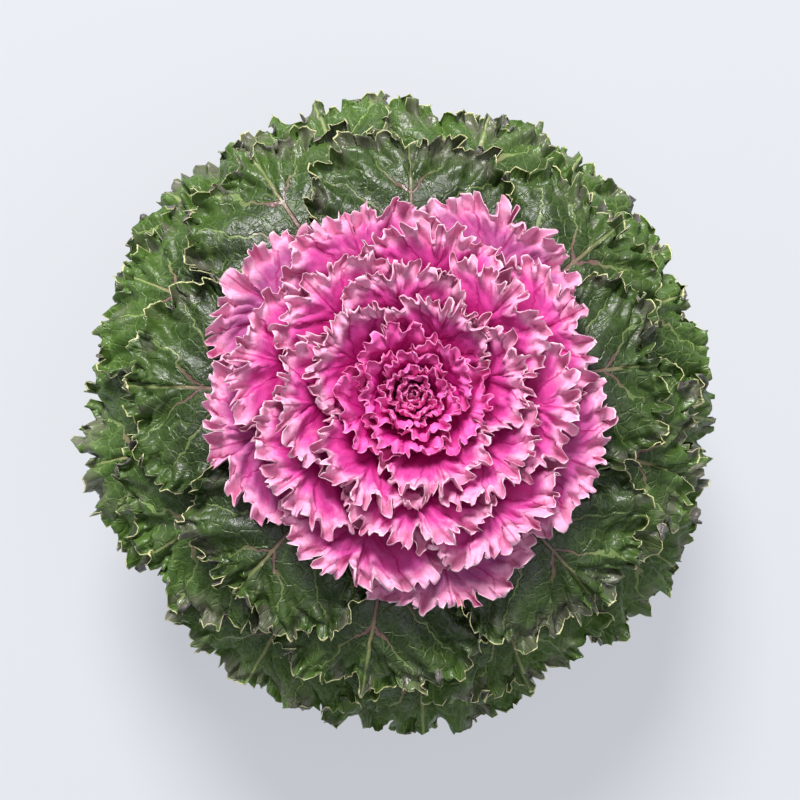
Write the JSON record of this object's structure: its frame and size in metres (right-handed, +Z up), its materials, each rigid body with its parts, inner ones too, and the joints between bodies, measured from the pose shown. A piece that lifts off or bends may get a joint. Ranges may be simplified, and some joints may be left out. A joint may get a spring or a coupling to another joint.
{
  "type": "potted ornamental kale",
  "caption": "Ornamental kale with a ruffled pink heart inside a broad rosette of frilled green leaves, growing in a plain round nursery pot.",
  "frame": {"origin": "centre of the pot's flat base", "axes": "+Z up along the stem; the camera's side is -Y"},
  "size_m": [0.3423, 0.3448, 0.2212],
  "materials": {
    "pot": "satin",
    "soil": "rough",
    "stem": "rough",
    "green_leaf": "satin",
    "pink_leaf": "satin",
    "pink_heart": "satin"
  },
  "bodies": {
    "root": {"pot": "pot", "soil": "soil", "stem": "stem", "green_leaf_01": "green_leaf", "green_leaf_02": "green_leaf", "green_leaf_03": "green_leaf", "green_leaf_04": "green_leaf", "green_leaf_05": "green_leaf", "green_leaf_06": "green_leaf", "green_leaf_07": "green_leaf", "green_leaf_08": "green_leaf", "green_leaf_09": "green_leaf", "green_leaf_10": "green_leaf", "green_leaf_11": "green_leaf", "green_leaf_12": "green_leaf", "green_leaf_13": "green_leaf", "green_leaf_14": "green_leaf", "green_leaf_15": "green_leaf", "green_leaf_16": "green_leaf", "green_leaf_17": "green_leaf", "green_leaf_18": "green_leaf", "green_leaf_19": "green_leaf", "green_leaf_20": "green_leaf", "green_leaf_21": "green_leaf", "green_leaf_22": "green_leaf", "pink_leaf_01": "pink_leaf", "pink_leaf_02": "pink_leaf", "pink_leaf_03": "pink_leaf", "pink_leaf_04": "pink_leaf", "pink_leaf_05": "pink_leaf", "pink_leaf_06": "pink_leaf", "pink_leaf_07": "pink_leaf", "pink_leaf_08": "pink_leaf", "pink_leaf_09": "pink_leaf", "pink_leaf_10": "pink_leaf", "pink_leaf_11": "pink_leaf", "pink_leaf_12": "pink_leaf", "pink_leaf_13": "pink_leaf", "pink_leaf_14": "pink_leaf", "pink_leaf_15": "pink_leaf", "pink_leaf_16": "pink_leaf", "pink_leaf_17": "pink_leaf", "pink_leaf_18": "pink_leaf", "pink_leaf_19": "pink_leaf", "pink_leaf_20": "pink_leaf", "pink_leaf_21": "pink_leaf", "pink_leaf_22": "pink_leaf", "pink_leaf_23": "pink_leaf", "pink_leaf_24": "pink_leaf", "pink_heart": "pink_heart"}
  },
  "joints": []
}
